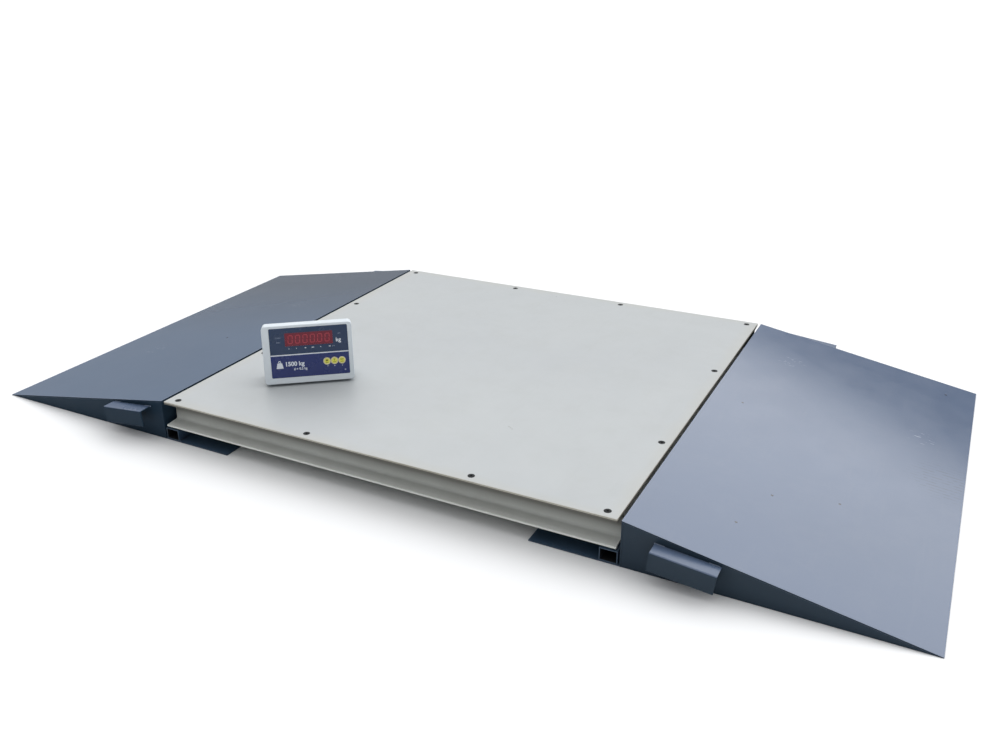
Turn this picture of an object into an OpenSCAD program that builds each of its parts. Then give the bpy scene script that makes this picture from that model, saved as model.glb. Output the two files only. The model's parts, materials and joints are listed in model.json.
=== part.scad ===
// Pallet scale: a low weighing platform on four shear-beam load cells, between two
// drive-on ramps whose tongues it stands on, with a loose desk indicator on the deck.
//
// Millimetres, +Z up. X runs from the left ramp's tip to the right ramp's, Y from the
// front to the back. The origin is on the floor, under the middle of the deck.

/* [Deck] */
// Length of the deck, from ramp to ramp
deck_l = 1200; // [1000:10:1500]
// Width of the deck and of both ramps
deck_w = 1200; // [1000:10:1500]
// Height of the deck's top face above the floor
deck_h = 107; // [103:1:140]
// Thickness of the deck plate
deck_t = 4; // [3:0.5:5]

/* [Edge channels] */
// Height of the rolled channels round the deck
chan_h = 65; // [50:1:80]
// Width of their flanges
chan_b = 42; // [38:1:50]
// Thickness of their web
chan_web = 5.5; // [4:0.5:8]
// Thickness of a flange at the web
chan_root = 7; // [6:0.5:9]
// Thickness of a flange at its tip
chan_tip = 4.5; // [4:0.5:5.5]

/* [Deck screws] */
// Thread of the countersunk deck screws
screw_d = 8; // [6:1:10]
// Length of a deck screw over all
screw_l = 17; // [14:1:25]
// Distance of the screw rows from the deck's edges
screw_edge = 22; // [18:1:26]
// Distance of the corner screws from the deck's ends
screw_end = 28; // [20:1:40]
// Places of the two middle screws on the front edge, as shares of the deck's length
front_marks = [-0.143, 0.22];
// The same on the back edge
back_marks = [-0.156, 0.149];
// The same on the left edge, as shares of the deck's width
left_marks = [-0.196, 0.184];
// The same on the right edge
right_marks = [-0.209, 0.165];

/* [Cross beams] */
// Height of the beams under the deck plate
beam_h = 50; // [40:1:55]
// Width of a beam's flanges
beam_b = 30; // [20:1:40]
// Thickness of a beam
beam_t = 4; // [3:0.5:6]

/* [Load cells] */
// Length of a load cell
cell_l = 130; // [110:1:150]
// Width of a load cell, and its height
cell_w = 32; // [30:1:40]
// Thickness of the seat that a cell is bolted to
seat_t = 14; // [10:1:18]
// Distance of a foot from the deck's end
foot_from_end = 110; // [100:1:140]
// Distance of a foot from the deck's front or back
foot_from_side = 90; // [88:1:120]

/* [Feet] */
// Thread of the levelling studs
stud_d = 12; // [10:1:16]
// Diameter of a foot pad
pad_d = 60; // [50:1:70]
// Diameter of the ball at the bottom of a stud
ball_d = 19.4; // [18:0.2:22]

/* [Ramps] */
// Level length of a ramp
ramp_run = 591; // [450:1:900]
// Gap between the deck and a ramp
ramp_gap = 9; // [6:1:15]
// Thickness of the ramp sheets and plates
sheet_t = 4; // [3:0.5:6]
// Height of the ramp's thin edge
ramp_tip = 1.5; // [1:0.5:3]
// Reach of the tongue under the deck
tongue_l = 200; // [190:1:260]
// Thickness of the tongue
tongue_t = 3; // [2:0.5:4]
// Width of the tube on the tongue
tube_w = 40; // [30:1:42]
// Wall of the tube
tube_wall = 2.5; // [2:0.5:4]

/* [Ramp handles] */
// Length of a handle
handle_l = 132; // [110:1:160]
// Depth of a handle, out from the ramp's side
handle_b = 36; // [30:1:45]
// Height of a handle's front face
handle_h = 42; // [35:1:48]
// Thickness of a handle
handle_t = 3; // [2:0.5:4]
// Slope of a handle, down towards the ramp's tip
handle_tilt = 6; // [0:0.5:10]
// Distance from the deck end of the ramp to the middle of a left ramp handle
left_handle_at = 107; // [95:1:160]
// Depth of the middle of a left ramp handle below the ramp's surface
left_handle_drop = 10.9; // [8:0.1:18]
// The same distance, right ramp at the front
right_front_handle_at = 135; // [95:1:160]
// The same depth, right ramp at the front
right_front_handle_drop = 13.4; // [8:0.1:18]
// The same distance, right ramp at the back
right_back_handle_at = 148; // [95:1:160]
// The same depth, right ramp at the back
right_back_handle_drop = 8.6; // [8:0.1:18]

/* [Indicator] */
// Width of the indicator's face
ind_w = 230; // [200:1:280]
// Height of the face
ind_h = 152; // [140:1:180]
// Depth of the front shell
bezel_d = 20; // [18:1:25]
// Depth of the whole indicator at its base
ind_d = 81; // [75:1:110]
// Wall of the shells
shell_t = 2.5; // [2:0.5:3]
// Lean of the face, back from upright
ind_tilt = 12; // [6:1:18]
// Turn of the indicator on the deck
ind_yaw = 37.5; // [0:0.5:90]
// Distance of the middle of the face from the deck's left end
ind_from_left = 270; // [200:1:500]
// Distance of the middle of the face from the deck's front
ind_from_front = 250; // [200:1:500]
// Height of the rubber feet
ind_foot_h = 3; // [2:0.5:5]
// Width and height of the front panel sheet
panel = [200, 129];
// Width and height of the display window
window = [122, 34];
// Diameter of a key
key_d = 16.4; // [12:0.2:17]
// Distance between keys
key_pitch = 19.3; // [18.2:0.1:24]
// Travel of a key
key_travel = 0.8; // [0.4:0.1:1.2]

/* [Hidden] */
$fn = 48;
eps = 0.01;

// Clearances
thread_gap = 0.08;     // stud in its threaded bore
ball_gap = 0.3;        // ball in its cup
sink_gap = 0.4;        // screw head in its countersink
tube_gap = 4;          // tube to the ramp's end plate
tube_clear = 5;        // tube to the channel above it
key_gap = 0.4;         // key in its hole
rocker_gap = 0.3;      // rocker in its frame
sheet_gap = 0.2;       // panel sheet and window in their openings, on each side
cable_gap = 0.3;       // cable in a grommet or a gland
cut = 1;               // how far a cutting shape runs past what it cuts

// Heights
plate_z = deck_h - deck_t;
chan_z = plate_z - chan_h;
cell_top = plate_z - seat_t;
cell_z = cell_top - cell_w;
cable_z = cell_z + 19;

// Deck frame
half_l = deck_l / 2;
half_w = deck_w / 2;
web_x = half_l - chan_b;
web_y = half_w - chan_b;
beam_y = deck_w / 4;
beam_z = plate_z - beam_h;

// Deck screws
head_d = screw_d * 2.06;
head_h = (head_d - screw_d) / 2;
hex_d = screw_d * 0.72;
row_y = half_w - screw_edge;
row_x = half_l - screw_edge;
corner_x = half_l - screw_end;
front_screws =
  [for (x = [-corner_x, front_marks[0] * deck_l, front_marks[1] * deck_l, corner_x]) [x, -row_y]];
back_screws =
  [for (x = [-corner_x, back_marks[0] * deck_l, back_marks[1] * deck_l, corner_x]) [x, row_y]];
left_screws = [for (m = left_marks) [-row_x, m * deck_w]];
right_screws = [for (m = right_marks) [row_x, m * deck_w]];
all_screws = concat(front_screws, back_screws, left_screws, right_screws);

// Load cells and feet
CORNERS = [["fl", -1, -1], ["fr", 1, -1], ["bl", -1, 1], ["br", 1, 1]];
foot_x = half_l - foot_from_end;
foot_y = half_w - foot_from_side;
stud_inset = 16;                       // stud hole from the cell's free end
bolt_d = 12;
bolt_inset = 19;                       // first bolt from the cell's fixed end
bolt_pitch = 25.4;
bolt_short = 4;                        // bolt's end under the seat's top face
gauge_depth = 6;                       // blind gauge hole in each side of a cell
cell_end = foot_y + stud_inset - cell_l;
cell_plug_d = 12;
cell_plug_l = 12;
cable_start = cell_end - cell_plug_l;
pad_t = 8;
hub_d = 30;
hub_h = 20;
hub_gap = 1.2;                         // stud in the hub's mouth
pad_bevel = 2;
ball_up = 13;                          // ball centre above the pad's underside
nut_t = 8;
nut_d = stud_d * 1.85;
collar_up = 25;
collar_t = 8;
stud_over = 3;                         // stud above the cell

// Junction box and cables
jb = [160, 100, 43];
jb_y = beam_y / 2 + beam_b / 4;
jb_wall = 3;
jb_lid_t = 4;
jb_boss = 8;                           // screw's distance from the box's sides
jb_boss_d = 9;
jb_screw_d = 4;
jb_screw_in = 10;
jb_head = [7.5, 2.5];                  // lid screw's head: diameter and height
jb_drop = 8;                           // summing board below the box's roof
cable_d = 5;
gland_x = 40;
gland_l = 12;
gland_nut = 4;                         // a gland's hexagon, and its thread inside the wall
cable_run = beam_y + beam_b + 10;
cable_bend = 30;
hole_d = 12;
outlet_x = -120;
outlet_z = chan_z + chan_h / 2;
outlet_bore = 7.2;
outlet_d = outlet_bore + 8;            // outlet gland's thread

// Ramps
ramp_x = half_l + ramp_gap;
slope = (deck_h - ramp_tip) / ramp_run;
sheet_v = sheet_t * sqrt(1 + slope * slope);
under_z = deck_h - sheet_v;            // sheet's underside at the deck end
under_run = under_z / slope;           // where the underside meets the floor
tube_h = chan_z - tongue_t - tube_clear;
tube_x = ramp_x - tube_gap - tube_w;
rib_y = deck_w / 4;
rib_run = 0.88 * under_run;

// Indicator
ind_x = -half_l + ind_from_left;
ind_y = -half_w + ind_from_front;
face_lift = ind_foot_h + bezel_d * sin(ind_tilt);
corner_r = 10;
panel_r = 3;
window_r = 1.5;
panel_t = 1;
recess = 1.2;
panel_x = 3.5;                         // centre of the panel, across the face
panel_z = 80.5;                        // and up it
window_x = panel_x + 0.3;
window_z = panel_z + 34;
key_x = panel_x + 61.9;
key_z = panel_z - 28.6;
keys_x = [for (i = [-1 : 1]) key_x + i * key_pitch];
wall_y = recess + shell_t;             // back of the front wall
board_y = 12;
board_t = 1.6;
board = [182, 106];
board_hole_in = 6;                     // board's screw holes from its edges
switch_w = 6;                          // key switch under each key
switch_h = 3;
boss_x = ind_w / 2 - 15;
boss_zs = [22, ind_h - 22];
front_boss_d = 8;
back_boss_d = 10;
case_screw_d = 3;
case_head = [5.6, 2.5];                // shell screw's head: diameter and height
case_head_y = bezel_d + 6;             // shell screw's seat, behind the face
socket_d = 16;
socket_bore = 12;
socket_x = 62;
socket_z = 55;
jack_d = 11;
jack_bore = 6.4;
jack_x = 62;
jack_z = 25;
rocker_x = -70;
rocker_z = 30;
rocker_r = 8;
rocker_w = 10.4;
rocker_in = 2;                         // pivot inside the back wall's outer face
rocker_lean = 7;
rocker_pin = 1;
rocker_frame = 2;                      // wall of the rocker's frame, left and right
rocker_sill = 1.2;                     // wall of the frame, above and below

// ---------------------------------------------------------------- helpers

function arc(cx, cy, r, a0, a1, n = 6) =
  [for (i = [0 : n]) let (a = a0 + (a1 - a0) * i / n) [cx + r * cos(a), cy + r * sin(a)]];

// Round tube swept along a level path at one height
module level_tube(path, r, z, sides = 10) {
  n = len(path);
  tangent = [for (i = [0 : n - 1])
    let (d = path[min(i + 1, n - 1)] - path[max(i - 1, 0)]) d / norm(d)];
  points = [for (i = [0 : n - 1], k = [0 : sides - 1])
    let (a = 360 * k / sides)
    [path[i][0] - tangent[i][1] * r * cos(a), path[i][1] + tangent[i][0] * r * cos(a), z + r * sin(a)]];
  walls = [for (i = [0 : n - 2], k = [0 : sides - 1])
    let (m = (k + 1) % sides)
    [i * sides + k, (i + 1) * sides + k, (i + 1) * sides + m, i * sides + m]];
  start = [for (k = [0 : sides - 1]) k];
  end = [for (k = [sides - 1 : -1 : 0]) (n - 1) * sides + k];
  polyhedron(points = points, faces = concat(walls, [start], [end]), convexity = 6);
}

module rounded_rect(w, h, r) {
  square([w - 2 * r, h], center = true);
  square([w, h - 2 * r], center = true);
  for (x = [-1, 1], y = [-1, 1]) translate([x * (w / 2 - r), y * (h / 2 - r)]) circle(r);
}

// Draws its child in the frame of the indicator standing on the deck:
// x across the face, y to its back, z up from the deck
module on_deck() {
  translate([ind_x, ind_y, deck_h]) rotate([0, 0, ind_yaw]) children();
}

// Draws its child in the frame of the leaning face: x across, y into it, z up it
module on_face() {
  on_deck() translate([0, 0, face_lift]) rotate([-ind_tilt, 0, 0]) children();
}

// Plate in the face's frame, from depth y0 to y1, with round corners
module face_plate(w, h, r, y0, y1, x = 0, z = 0) {
  translate([x, y1, z]) rotate([90, 0, 0]) linear_extrude(y1 - y0) rounded_rect(w, h, r);
}

module face_rod(d, y0, y1, x, z) {
  translate([x, y1, z]) rotate([90, 0, 0]) cylinder(h = y1 - y0, d = d);
}

// ---------------------------------------------------------------- deck

module deck_plate() {
  color([0.79, 0.81, 0.81]) difference() {
    translate([-half_l, -half_w, plate_z]) cube([deck_l, deck_w, deck_t]);
    for (p = all_screws) translate([p[0], p[1], plate_z]) {
      translate([0, 0, -cut]) cylinder(h = deck_t + 2 * cut, d = screw_d + sink_gap);
      translate([0, 0, deck_t - head_h]) cylinder(h = head_h + eps, d1 = screw_d + 2 * sink_gap,
        d2 = head_d + 2 * sink_gap);
    }
  }
}

module deck_screws() {
  shank_l = screw_l - head_h;
  hex_depth = 0.7 * head_h;
  for (p = all_screws) color([0.45, 0.46, 0.47]) translate([p[0], p[1], deck_h]) difference() {
    union() {
      translate([0, 0, -head_h]) cylinder(h = head_h, d1 = screw_d, d2 = head_d);
      translate([0, 0, -screw_l]) cylinder(h = shank_l, d = screw_d);
    }
    translate([0, 0, -hex_depth]) cylinder(h = head_h, d = hex_d, $fn = 6);
  }
}

// Section of the channel: x out from the back of the web, y up from its underside
module channel_section() {
  root_r = 6;
  tip_r = 2.5;
  flange = concat(
    [[0, 0], [chan_b, 0]],
    arc(chan_b - tip_r, chan_tip - tip_r, tip_r, 0, 80),
    arc(chan_web + root_r, chan_root + root_r, root_r, 268, 180));
  polygon(concat(flange, [for (i = [len(flange) - 1 : -1 : 0]) [flange[i][0], chan_h - flange[i][1]]]));
}

// Holes for the deck screws that land in a channel
module screw_holes(screws) {
  for (p = screws) translate([p[0], p[1], deck_h]) {
    translate([0, 0, -screw_l - chan_root]) cylinder(h = screw_l + chan_root, d = screw_d);
    translate([0, 0, -head_h]) cylinder(h = head_h + eps, d1 = screw_d + 2 * sink_gap,
      d2 = head_d + 2 * sink_gap);
  }
}

module channel_across(side, screws) {
  color([0.79, 0.81, 0.81]) difference() {
    mirror([0, side < 0 ? 1 : 0, 0]) translate([-half_l, web_y, chan_z])
      rotate([90, 0, 90]) linear_extrude(deck_l) channel_section();
    screw_holes(screws);
  }
}

module channel_front() { channel_across(-1, front_screws); }

module channel_back() {
  difference() {
    channel_across(1, back_screws);
    color([0.79, 0.81, 0.81]) translate([outlet_x, web_y - cut, outlet_z]) rotate([-90, 0, 0])
      cylinder(h = chan_web + 2 * cut, d = outlet_d);
  }
}

module channel_along(side, screws) {
  color([0.79, 0.81, 0.81]) difference() {
    mirror([side < 0 ? 1 : 0, 0, 0]) translate([web_x, web_y, chan_z])
      rotate([90, 0, 0]) linear_extrude(2 * web_y) channel_section();
    screw_holes(screws);
  }
}

module channel_left() { channel_along(-1, left_screws); }

module channel_right() { channel_along(1, right_screws); }

module cross_beams() {
  for (side = [-1 : 1]) color([0.79, 0.81, 0.81]) translate([0, side * beam_y, 0]) difference() {
    translate([-web_x, 0, beam_z]) cube([2 * web_x, beam_b, beam_h]);
    translate([-web_x - cut, beam_t, beam_z + beam_t])
      cube([2 * (web_x + cut), beam_b, beam_h - 2 * beam_t]);
    for (x = [-1, 1]) translate([x * gland_x, -cut, cable_z]) rotate([-90, 0, 0])
      cylinder(h = beam_t + 2 * cut, d = hole_d);
  }
}

module beam_grommets() {
  lip = 1.5;
  lip_d = hole_d + 4;
  for (side = [-1 : 1], x = [-1, 1]) color([0.1, 0.1, 0.1])
    translate([x * gland_x, side * beam_y - lip, cable_z]) rotate([-90, 0, 0]) difference() {
      union() {
        cylinder(h = lip, d = lip_d);
        translate([0, 0, lip]) cylinder(h = beam_t, d = hole_d);
        translate([0, 0, lip + beam_t]) cylinder(h = lip, d = lip_d);
      }
      translate([0, 0, -cut]) cylinder(h = beam_t + 2 * (lip + cut), d = cable_d + 2 * cable_gap);
    }
}

// ---------------------------------------------------------------- load cells and feet

// Draws its child at a corner of the deck, as seen at the back right one
module at_corner(sx, sy) {
  mirror([sx < 0 ? 1 : 0, 0, 0]) mirror([0, sy < 0 ? 1 : 0, 0]) translate([foot_x, 0, 0]) children();
}

module cell_seats() {
  margin = 10;
  seat_l = 2 * bolt_inset + bolt_pitch + margin;
  for (c = CORNERS) color([0.79, 0.81, 0.81]) at_corner(c[1], c[2])
    translate([-cell_w / 2 - margin, cell_end - margin, cell_top]) difference() {
      cube([cell_w + 2 * margin, seat_l, seat_t]);
      for (k = [0, 1]) translate([cell_w / 2 + margin, margin + bolt_inset + k * bolt_pitch, -cut])
        cylinder(h = seat_t - bolt_short + cut, d = bolt_d);
    }
}

module load_cell(sx, sy) {
  gauge_d = 20;
  gauge_y = (stud_inset + cell_l - bolt_inset - bolt_pitch) / 2;
  color([0.72, 0.73, 0.74]) at_corner(sx, sy) difference() {
    union() {
      translate([-cell_w / 2, cell_end, cell_z]) cube([cell_w, cell_l, cell_w]);
      translate([0, cell_end, cable_z]) rotate([90, 0, 0]) cylinder(h = cell_plug_l, d = cell_plug_d);
    }
    translate([0, foot_y, cell_z - cut]) cylinder(h = cell_w + 2 * cut, d = stud_d + 2 * thread_gap);
    for (k = [0, 1]) translate([0, cell_end + bolt_inset + k * bolt_pitch, cell_z - cut])
      cylinder(h = cell_w + 2 * cut, d = bolt_d + 1);
    for (x = [-1, 1]) translate([x * cell_w / 2, foot_y - gauge_y, cell_z + cell_w / 2])
      rotate([0, 90, 0]) cylinder(h = 2 * gauge_depth, d = gauge_d, center = true);
  }
}

module cell_bolts() {
  head = 8;
  for (c = CORNERS, k = [0, 1]) color([0.35, 0.35, 0.36]) at_corner(c[1], c[2])
    translate([0, cell_end + bolt_inset + k * bolt_pitch, cell_z - head]) {
      difference() {
        cylinder(h = head, d = bolt_d * 1.5);
        translate([0, 0, -cut]) cylinder(h = head * 0.6 + cut, d = bolt_d * 0.9, $fn = 6);
      }
      translate([0, 0, head]) cylinder(h = cell_w + seat_t - bolt_short, d = bolt_d);
    }
}

module foot_lock_nuts() {
  for (c = CORNERS) color([0.6, 0.6, 0.6]) at_corner(c[1], c[2])
    translate([0, foot_y, cell_z - nut_t]) difference() {
      cylinder(h = nut_t, d = nut_d, $fn = 6);
      translate([0, 0, -cut]) cylinder(h = nut_t + 2 * cut, d = stud_d + 2 * thread_gap);
    }
}

module foot_pad(sx, sy) {
  color([0.55, 0.55, 0.56]) at_corner(sx, sy) translate([0, foot_y, tongue_t]) difference() {
    union() {
      cylinder(h = pad_t - pad_bevel, d = pad_d);
      translate([0, 0, pad_t - pad_bevel])
        cylinder(h = pad_bevel, d1 = pad_d, d2 = pad_d - 2 * pad_bevel);
      cylinder(h = hub_h, d = hub_d);
    }
    translate([0, 0, ball_up]) sphere(d = ball_d + 2 * ball_gap);
    translate([0, 0, ball_up]) cylinder(h = hub_h, d = stud_d + 2 * hub_gap);
  }
}

module foot_stud(sx, sy) {
  stud_top = cell_top + stud_over - tongue_t;
  color([0.7, 0.7, 0.7]) at_corner(sx, sy) translate([0, foot_y, tongue_t]) union() {
    translate([0, 0, ball_up]) sphere(d = ball_d);
    translate([0, 0, ball_up]) cylinder(h = stud_top - ball_up, d = stud_d);
    translate([0, 0, collar_up]) cylinder(h = collar_t, d = nut_d, $fn = 6);
  }
}

// ---------------------------------------------------------------- junction box and cables

module junction_corners(z) {
  for (x = [-1, 1], y = [-1, 1])
    translate([x * (jb[0] / 2 - jb_boss), jb_y + y * (jb[1] / 2 - jb_boss), z]) children();
}

module junction_box() {
  color([0.55, 0.56, 0.57]) difference() {
    union() {
      difference() {
        translate([-jb[0] / 2, jb_y - jb[1] / 2, plate_z - jb[2]]) cube(jb);
        translate([-jb[0] / 2 + jb_wall, jb_y - jb[1] / 2 + jb_wall, plate_z - jb[2] - cut])
          cube([jb[0] - 2 * jb_wall, jb[1] - 2 * jb_wall, jb[2] - jb_wall + cut]);
      }
      junction_corners(plate_z - jb[2]) cylinder(h = jb[2] - jb_wall + eps, d = jb_boss_d);
    }
    junction_corners(plate_z - jb[2] - cut) cylinder(h = jb_screw_in + jb_lid_t + cut, d = jb_screw_d);
    for (x = [-1, 1], y = [-1, 1])
      translate([x * gland_x, jb_y + y * jb[1] / 2, cable_z]) rotate([90, 0, 0])
        cylinder(h = 4 * jb_wall, d = hole_d, center = true);
    translate([-jb[0] / 2, jb_y, cable_z]) rotate([0, 90, 0])
      cylinder(h = 4 * jb_wall, d = hole_d, center = true);
  }
}

module junction_lid() {
  color([0.55, 0.56, 0.57]) difference() {
    translate([-jb[0] / 2, jb_y - jb[1] / 2, plate_z - jb[2] - jb_lid_t]) cube([jb[0], jb[1], jb_lid_t]);
    junction_corners(plate_z - jb[2] - jb_lid_t - cut)
      cylinder(h = jb_lid_t + 2 * cut, d = jb_screw_d + 0.5);
  }
}

module junction_screws() {
  color([0.7, 0.7, 0.7]) junction_corners(plate_z - jb[2] - jb_lid_t - jb_head[1]) {
    cylinder(h = jb_head[1], d = jb_head[0]);
    translate([0, 0, jb_head[1]]) cylinder(h = jb_lid_t + jb_screw_in, d = jb_screw_d);
  }
}

module junction_board() {
  size = [110, 60, board_t];
  post_in = 10;
  block = [size[0] - 32, 12, 9];       // row of cable terminals
  color([0.1, 0.4, 0.2]) translate([-size[0] / 2, jb_y - size[1] / 2, plate_z - jb_wall - jb_drop]) {
    cube(size);
    for (x = [post_in, size[0] - post_in], y = [post_in, size[1] - post_in])
      translate([x, y, size[2]]) cylinder(h = jb_drop - size[2], d = 6);
    for (y = [0, size[1] - block[1]]) translate([(size[0] - block[0]) / 2, y, -block[2]]) cube(block);
  }
}

// Cable gland along +z, its collar seated at z = 0 on the outside of a wall
module gland(thread_d, bore_d, wall) {
  inner = wall + gland_nut;
  cap_d = thread_d * 1.3;
  dome = 2;
  difference() {
    union() {
      translate([0, 0, -inner]) cylinder(h = inner, d = thread_d);
      cylinder(h = gland_nut, d = thread_d * 1.6, $fn = 6);
      translate([0, 0, gland_nut]) cylinder(h = gland_l - gland_nut - dome, d = cap_d);
      translate([0, 0, gland_l - dome]) cylinder(h = dome, d1 = cap_d, d2 = thread_d);
    }
    translate([0, 0, -inner - cut]) cylinder(h = gland_l + inner + 2 * cut, d = bore_d);
  }
}

module cable_glands() {
  for (x = [-1, 1], y = [-1, 1]) color([0.12, 0.12, 0.12])
    translate([x * gland_x, jb_y + y * jb[1] / 2, cable_z]) rotate([-90 * y, 0, 0])
      gland(hole_d, cable_d + 2 * cable_gap, jb_wall);
  color([0.12, 0.12, 0.12]) translate([-jb[0] / 2, jb_y, cable_z]) rotate([0, -90, 0])
    gland(hole_d, cable_d + 2 * cable_gap, jb_wall);
}

module cable_outlet() {
  color([0.12, 0.12, 0.12]) translate([outlet_x, web_y + chan_web, outlet_z]) rotate([-90, 0, 0]) {
    gland(outlet_d, outlet_bore, chan_web);
    translate([0, 0, -chan_web - gland_nut]) difference() {
      cylinder(h = gland_nut, d = outlet_d * 1.6, $fn = 6);
      translate([0, 0, -cut]) cylinder(h = gland_nut + 2 * cut, d = outlet_d - 1);
    }
  }
}

// Level path of a cable from a cell at +X to the junction box, for sy = 1 at the back
function cable_path(sy) =
  let (
    r = cable_bend,
    last = jb_y + sy * (jb[1] / 2 - jb_wall - 2 * gland_nut),
    turn_in = arc(foot_x - r, sy * (cable_run + r), r, 0, -90 * sy, 8),
    turn_out = arc(gland_x + r, sy * (cable_run - r), r, 90 * sy, 180 * sy, 8))
  concat([[foot_x, sy * cable_start]], turn_in, turn_out, [[gland_x, last]]);

module cell_cables() {
  for (sx = [0, 1], sy = [-1, 1]) color([0.13, 0.13, 0.14]) mirror([sx, 0, 0])
    level_tube(cable_path(sy), cable_d / 2, cable_z);
}

// ---------------------------------------------------------------- ramps

// Draws its child as part of the right ramp, or of the left one
module on_ramp(side) {
  mirror([side < 0 ? 1 : 0, 0, 0]) translate([ramp_x, 0, 0]) children();
}

// Plate standing along the ramp, from y to y + t, with the outline's x and z
module upright_plate(outline, y, t) {
  translate([0, y + t, 0]) rotate([90, 0, 0]) linear_extrude(t) polygon(outline);
}

module ramp_sheet(side) {
  outline = [[0, deck_h], [0, under_z], [under_run, 0], [ramp_run, 0], [ramp_run, ramp_tip]];
  color([0.42, 0.48, 0.56]) on_ramp(side) upright_plate(outline, -half_w, deck_w);
}

module ramp_sides(side) {
  outline = [[sheet_t, 0], [under_run, 0], [sheet_t, under_z - slope * sheet_t]];
  for (y = [-half_w, half_w - sheet_t]) color([0.25, 0.3, 0.37]) on_ramp(side)
    upright_plate(outline, y, sheet_t);
}

module ramp_end(side) {
  outline = [[0, 0], [sheet_t, 0], [sheet_t, under_z - slope * sheet_t], [0, under_z]];
  color([0.25, 0.3, 0.37]) on_ramp(side) upright_plate(outline, -half_w, deck_w);
}

module ramp_ribs(side) {
  outline = [[sheet_t, 0], [rib_run, 0], [rib_run, under_z - slope * rib_run],
             [sheet_t, under_z - slope * sheet_t]];
  for (k = [-1 : 1]) color([0.25, 0.3, 0.37]) on_ramp(side)
    upright_plate(outline, k * rib_y - sheet_t / 2, sheet_t);
}

module ramp_tongue(side) {
  color([0.1, 0.14, 0.19]) on_ramp(side) translate([-tongue_l, -half_w, 0])
    cube([tongue_l, deck_w, tongue_t]);
}

module ramp_tube(side) {
  color([0.1, 0.14, 0.19]) on_ramp(side) translate([-tube_gap - tube_w, -half_w, tongue_t]) difference() {
    cube([tube_w, deck_w, tube_h]);
    translate([tube_wall, -cut, tube_wall])
      cube([tube_w - 2 * tube_wall, deck_w + 2 * cut, tube_h - 2 * tube_wall]);
  }
}

// Bent handle: its section is x out from the ramp's side and y up, with the top at 0
module handle_section() {
  bend = handle_t + 0.6;              // outer radius of the fold
  polygon(concat(
    [[0, 0], [0, -handle_t], [handle_b - bend, -handle_t]],
    arc(handle_b - bend, -bend, bend - handle_t, 90, 0, 4),
    [[handle_b - handle_t, -handle_h], [handle_b, -handle_h]],
    arc(handle_b - bend, -bend, bend, 0, 90, 6)));
}

module ramp_handle(side, front, at, drop) {
  color([0.3, 0.36, 0.44]) on_ramp(side) mirror([0, front, 0])
    translate([at, half_w, deck_h - slope * at - drop])
      rotate([0, handle_tilt, 0]) translate([-handle_l / 2, 0, 0])
        rotate([90, 0, 90]) linear_extrude(handle_l) handle_section();
}

module ramp_left_handle_front() { ramp_handle(-1, 1, left_handle_at, left_handle_drop); }

module ramp_left_handle_back() { ramp_handle(-1, 0, left_handle_at, left_handle_drop); }

module ramp_right_handle_front() {
  ramp_handle(1, 1, right_front_handle_at, right_front_handle_drop);
}

module ramp_right_handle_back() {
  ramp_handle(1, 0, right_back_handle_at, right_back_handle_drop);
}

// ---------------------------------------------------------------- indicator

module window_hole(depth) {
  gap = 2 * sheet_gap;
  face_plate(window[0] + gap, window[1] + gap, window_r, -cut, depth, window_x, window_z);
}

module key_holes(depth) {
  for (x = keys_x) face_rod(key_d + 2 * key_gap, -cut, depth, x, key_z);
}

module indicator_front() {
  mid = ind_h / 2;
  color([0.8, 0.84, 0.85]) on_face() difference() {
    union() {
      difference() {
        face_plate(ind_w, ind_h, corner_r, 0, bezel_d, z = mid);
        face_plate(ind_w - 2 * shell_t, ind_h - 2 * shell_t, corner_r - shell_t,
          wall_y, bezel_d + cut, z = mid);
      }
      for (x = [-boss_x, boss_x], z = boss_zs) face_rod(front_boss_d, wall_y - eps, bezel_d + 2, x, z);
    }
    face_plate(panel[0] + 2 * sheet_gap, panel[1] + 2 * sheet_gap, panel_r, -cut, recess,
               panel_x, panel_z);
    window_hole(wall_y + cut);
    key_holes(wall_y + cut);
    for (x = [-boss_x, boss_x], z = boss_zs) face_rod(case_screw_d, bezel_d - 10, bezel_d + 3, x, z);
  }
}

// The rear shell's outer form, or with t its inside
module back_form(t) {
  reach = 2 * ind_d;
  intersection() {
    translate([0, 0, face_lift]) rotate([-ind_tilt, 0, 0])
      face_plate(ind_w - 2 * t, ind_h - 2 * t, corner_r - t, bezel_d - (t > 0 ? cut : 0), reach,
                 z = ind_h / 2);
    translate([-ind_w, -reach, ind_foot_h + t]) cube([2 * ind_w, reach + ind_d - t, 2 * ind_h]);
  }
}

module indicator_back() {
  frame_w = rocker_w + 2 * (rocker_gap + rocker_frame);
  frame_h = 2 * (rocker_r + rocker_gap + rocker_sill);
  wall_back = ind_d - shell_t - cut;
  color([0.8, 0.84, 0.85]) difference() {
    union() {
      on_deck() difference() {
        back_form(0);
        back_form(shell_t);
      }
      intersection() {
        on_deck() back_form(0);
        on_face() for (x = [-boss_x, boss_x], z = boss_zs)
          face_rod(back_boss_d, bezel_d + 2, 2 * ind_d, x, z);
      }
    }
    on_face() for (x = [-boss_x, boss_x], z = boss_zs) {
      face_rod(case_head[0] + 0.8, case_head_y, 2 * ind_d, x, z);
      face_rod(case_screw_d + 0.4, bezel_d + 1, case_head_y + cut, x, z);
    }
    on_deck() {
      face_rod(socket_d, wall_back, ind_d + cut, socket_x, socket_z);
      face_rod(jack_d, wall_back, ind_d + cut, jack_x, jack_z);
      translate([rocker_x - frame_w / 2, wall_back, rocker_z - frame_h / 2])
        cube([frame_w, shell_t + 2 * cut, frame_h]);
    }
  }
}

module indicator_panel() {
  color([0.17, 0.17, 0.36]) on_face() difference() {
    face_plate(panel[0], panel[1], panel_r, recess - panel_t, recess, panel_x, panel_z);
    window_hole(wall_y);
    key_holes(wall_y);
  }
}

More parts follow.
